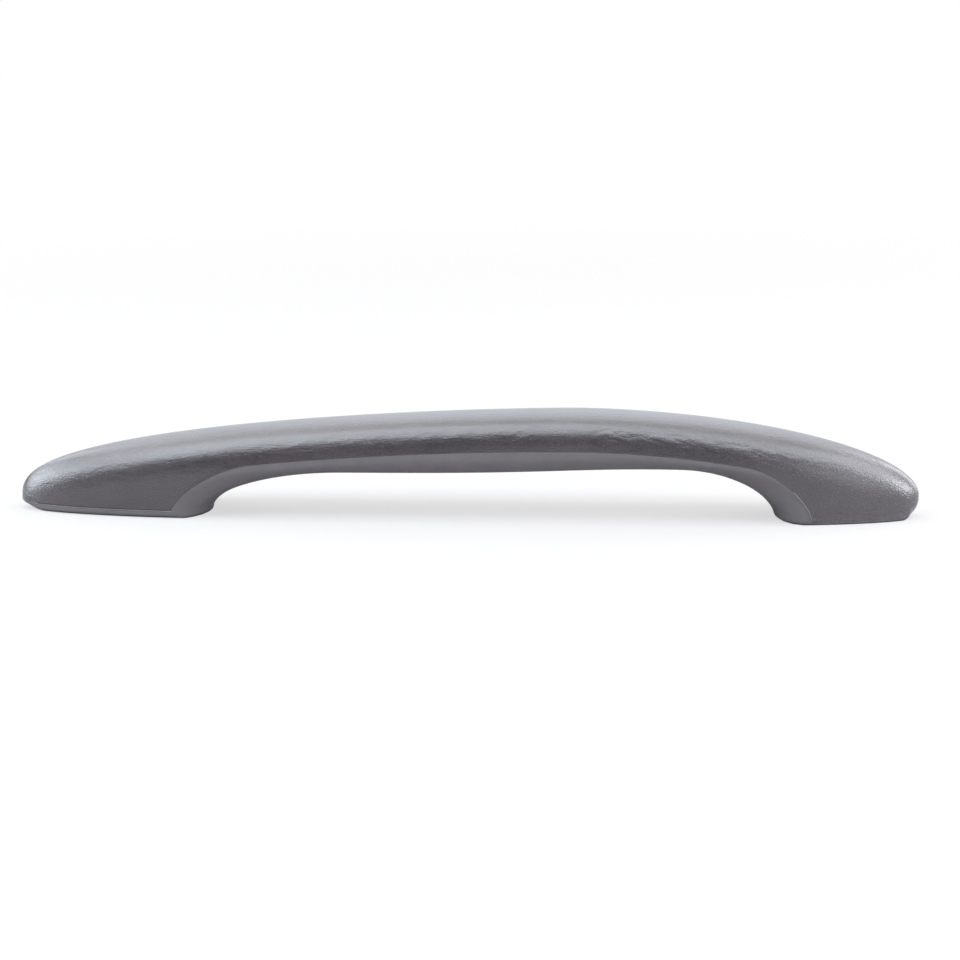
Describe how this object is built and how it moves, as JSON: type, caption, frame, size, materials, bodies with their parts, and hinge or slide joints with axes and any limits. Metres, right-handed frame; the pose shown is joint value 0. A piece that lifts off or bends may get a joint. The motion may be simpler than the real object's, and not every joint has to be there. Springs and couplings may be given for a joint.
{
  "type": "roof grab handle",
  "caption": "Fixed roof grab handle: soft grained grip bowed between a long low foot and a short tall foot, over a smooth carrier and a cranked steel strap with captive mounting nuts.",
  "frame": {"origin": "centre of the overall box, on the plane both feet stand on", "axes": "+X along the handle from the long low foot to the short tall foot, -Y towards the viewer of the picture, +Z out of the roof towards the hand"},
  "size_m": [0.27, 0.0272, 0.0313],
  "materials": {
    "grained_skin": "soft foam skin with a fine leather grain",
    "smooth_plastic": "smooth moulded satin",
    "strap_steel": "pressed mild steel, dull",
    "zinc_plating": "bright zinc plating"
  },
  "bodies": {
    "root": {"grip_cover": "grained_skin", "carrier": "smooth_plastic", "core_strap": "strap_steel", "weld_nut_long_foot": "zinc_plating", "weld_nut_short_foot": "zinc_plating", "carrier_screw_1": "zinc_plating", "carrier_screw_2": "zinc_plating", "carrier_screw_3": "zinc_plating"}
  },
  "joints": []
}
